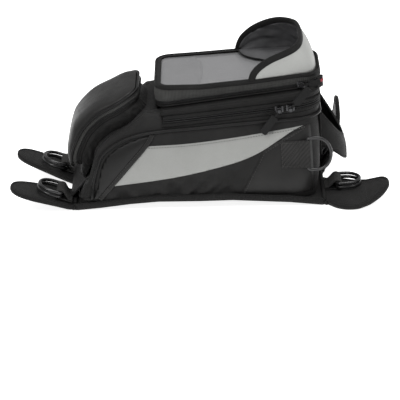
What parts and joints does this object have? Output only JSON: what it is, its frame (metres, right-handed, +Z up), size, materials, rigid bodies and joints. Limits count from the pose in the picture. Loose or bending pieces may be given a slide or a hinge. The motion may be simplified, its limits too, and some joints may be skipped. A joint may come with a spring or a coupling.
{
  "type": "motorcycle tank bag",
  "caption": "Soft luggage bag for a motorcycle fuel tank, with a zipped lid, a map pocket under a folding sun hood, a rear pouch and strap flaps with D-rings.",
  "frame": {"origin": "under the middle of the bag's outer box, level with the lowest edge of the base", "axes": "+X towards the front of the motorcycle, +Y to its left side, +Z up"},
  "size_m": [0.504, 0.2718, 0.223],
  "materials": {
    "shell_fabric": "plain-weave nylon",
    "base_fabric": "ribbed non-slip fabric",
    "leatherette": "grained, satin",
    "reflective": "smooth light-grey reflective cloth",
    "webbing": "coarse woven webbing",
    "zip_tape": "woven tape with nylon coil",
    "piping": "smooth, satin",
    "binding": "ribbed binding tape",
    "lining": "thin creased nylon",
    "ring": "black, semi-gloss",
    "slider": "gunmetal, satin",
    "pull_rubber": "matt moulded rubber",
    "red_rubber": "matt moulded rubber",
    "board": "rigid sheet",
    "board_grey": "thin grey sheet",
    "clear_film": "clear flexible film",
    "magnet": "bare"
  },
  "bodies": {
    "bag": {"lower_shell": "shell_fabric", "base_panel": "base_fabric", "base_stiffener": "board", "main_zip_lower": "zip_tape", "side_piping": "piping", "side_stripes": "reflective", "rear_corner_panels": "leatherette", "front_corner_panels": "leatherette", "side_webbings": "webbing", "handle_anchors": "webbing", "pouch_tub": "shell_fabric", "pouch_zip_lower": "zip_tape"},
    "lid": {"lid_shell": "shell_fabric", "main_zip_upper": "zip_tape", "pocket_back": "shell_fabric", "pocket_zip_lower": "zip_tape", "map_divider": "board_grey", "pocket_tab": "binding"},
    "pouch_lid": {"pouch_cover": "leatherette", "pouch_piping": "piping", "pouch_zip_upper": "zip_tape"},
    "pocket_lid": {"pocket_frame": "binding", "window_pane": "clear_film", "window_binding": "binding", "pocket_zip_upper": "zip_tape", "hood_gussets": "lining"},
    "hood": {"hood_panel": "reflective", "hood_binding": "binding"},
    "handle": {"front_handle": "webbing"},
    "right_side_ring": {"right_side_ring": "ring"},
    "left_side_ring": {"left_side_ring": "ring"},
    "front_right_flap": {"front_right_flap": "base_fabric", "front_right_flap_loop": "webbing", "front_right_flap_magnet": "magnet"},
    "front_right_rings": {"front_right_ring_lower": "ring", "front_right_ring_upper": "ring"},
    "front_left_flap": {"front_left_flap": "base_fabric", "front_left_flap_loop": "webbing", "front_left_flap_magnet": "magnet"},
    "front_left_rings": {"front_left_ring_lower": "ring", "front_left_ring_upper": "ring"},
    "rear_right_flap": {"rear_right_flap": "base_fabric", "rear_right_flap_loop": "webbing", "rear_right_flap_magnet": "magnet"},
    "rear_right_rings": {"rear_right_ring_lower": "ring", "rear_right_ring_upper": "ring"},
    "rear_left_flap": {"rear_left_flap": "base_fabric", "rear_left_flap_loop": "webbing", "rear_left_flap_magnet": "magnet"},
    "rear_left_rings": {"rear_left_ring_lower": "ring", "rear_left_ring_upper": "ring"},
    "rear_main_slider": {"rear_main_slider": "slider"},
    "rear_main_pull": {"rear_main_pull": "pull_rubber"},
    "front_main_slider": {"front_main_slider": "slider"},
    "front_main_pull": {"front_main_pull": "pull_rubber"},
    "pocket_slider": {"pocket_slider": "slider"},
    "pocket_pull": {"pocket_pull": "pull_rubber"},
    "pouch_slider": {"pouch_slider": "slider"},
    "pouch_pull": {"pouch_pull": "red_rubber"}
  },
  "joints": [
    {"name": "lid_hinge", "type": "hinge", "parent": "bag", "child": "lid", "pos_m": [-0.044, 0, 0.14], "axis": [0, -1, 0], "range_deg": [0, 75]},
    {"name": "pouch_lid_hinge", "type": "hinge", "parent": "bag", "child": "pouch_lid", "pos_m": [-0.1615, 0, 0.0575], "axis": [0, -1, 0], "range_deg": [0, 60]},
    {"name": "pocket_lid_hinge", "type": "hinge", "parent": "lid", "child": "pocket_lid", "pos_m": [0.173, 0, 0.1593], "axis": [0, 1, 0], "range_deg": [0, 80]},
    {"name": "hood_fold", "type": "hinge", "parent": "pocket_lid", "child": "hood", "pos_m": [0.1724, 0, 0.172], "axis": [0, -1, 0], "range_deg": [0, 50], "deforming": ["hood_gussets"]},
    {"name": "front_right_flap_hinge", "type": "hinge", "parent": "bag", "child": "front_right_flap", "pos_m": [0.1702, 0, 0.003], "axis": [0, -1, 0], "range_deg": [-35, 20]},
    {"name": "front_left_flap_hinge", "type": "hinge", "parent": "bag", "child": "front_left_flap", "pos_m": [0.1702, 0, 0.003], "axis": [0, -1, 0], "range_deg": [-95, 5]},
    {"name": "rear_right_flap_hinge", "type": "hinge", "parent": "bag", "child": "rear_right_flap", "pos_m": [-0.1712, 0, 0.003], "axis": [0, 1, 0], "range_deg": [-45, 0]},
    {"name": "rear_left_flap_hinge", "type": "hinge", "parent": "bag", "child": "rear_left_flap", "pos_m": [-0.1712, 0, 0.003], "axis": [0, 1, 0], "range_deg": [-45, 0]},
    {"name": "front_right_ring_swing", "type": "hinge", "parent": "front_right_flap", "child": "front_right_rings", "pos_m": [0.186, -0.052, 0.0128], "axis": [0, -1, 0], "range_deg": [0, 85]},
    {"name": "front_left_ring_swing", "type": "hinge", "parent": "front_left_flap", "child": "front_left_rings", "pos_m": [0.16961, 0.052, 0.02158], "axis": [0, -1, 0], "range_deg": [0, 25]},
    {"name": "rear_right_ring_swing", "type": "hinge", "parent": "rear_right_flap", "child": "rear_right_rings", "pos_m": [-0.18653, -0.058, 0.02011], "axis": [0, 1, 0], "range_deg": [0, 70]},
    {"name": "rear_left_ring_swing", "type": "hinge", "parent": "rear_left_flap", "child": "rear_left_rings", "pos_m": [-0.18653, 0.058, 0.02011], "axis": [0, 1, 0], "range_deg": [0, 70]},
    {"name": "right_side_ring_swing", "type": "hinge", "parent": "bag", "child": "right_side_ring", "pos_m": [0.147, -0.09981, 0.069], "axis": [0, -0.1657, -0.9862], "range_deg": [0, 150]},
    {"name": "left_side_ring_swing", "type": "hinge", "parent": "bag", "child": "left_side_ring", "pos_m": [0.147, 0.09981, 0.069], "axis": [0, -0.1657, 0.9862], "range_deg": [0, 150]},
    {"name": "handle_swing", "type": "hinge", "parent": "bag", "child": "handle", "pos_m": [0.172, 0, 0.08], "axis": [0, -1, 0], "range_deg": [-10, 15]},
    {"name": "rear_main_zip", "type": "slide", "parent": "bag", "child": "rear_main_slider", "axis": [0.9973, 0, 0.0728], "range_m": [-0.125, 0]},
    {"name": "front_main_zip", "type": "slide", "parent": "bag", "child": "front_main_slider", "axis": [0.9973, 0, 0.0728], "range_m": [0, 0.008]},
    {"name": "pocket_zip", "type": "slide", "parent": "lid", "child": "pocket_slider", "axis": [0.9959, 0, 0.0906], "range_m": [-0.165, 0]},
    {"name": "pouch_zip", "type": "slide", "parent": "bag", "child": "pouch_slider", "axis": [-0.901, 0, -0.4338], "range_m": [-0.02, 0.025]},
    {"name": "rear_main_pull_swing", "type": "hinge", "parent": "rear_main_slider", "child": "rear_main_pull", "pos_m": [0.112, -0.093, 0.12938], "axis": [0, 1, 0], "range_deg": [-38, 60]},
    {"name": "front_main_pull_swing", "type": "hinge", "parent": "front_main_slider", "child": "front_main_pull", "pos_m": [0.127, -0.093, 0.13047], "axis": [0, 1, 0], "range_deg": [-42, 108]},
    {"name": "pocket_pull_swing", "type": "hinge", "parent": "pocket_slider", "child": "pocket_pull", "pos_m": [0.143, -0.073, 0.15651], "axis": [0, 1, 0], "range_deg": [-60, 4]},
    {"name": "pouch_pull_swing", "type": "hinge", "parent": "pouch_slider", "child": "pouch_pull", "pos_m": [-0.108, 0.066, 0.121], "axis": [0, 1, 0], "range_deg": [-8, 70]}
  ]
}
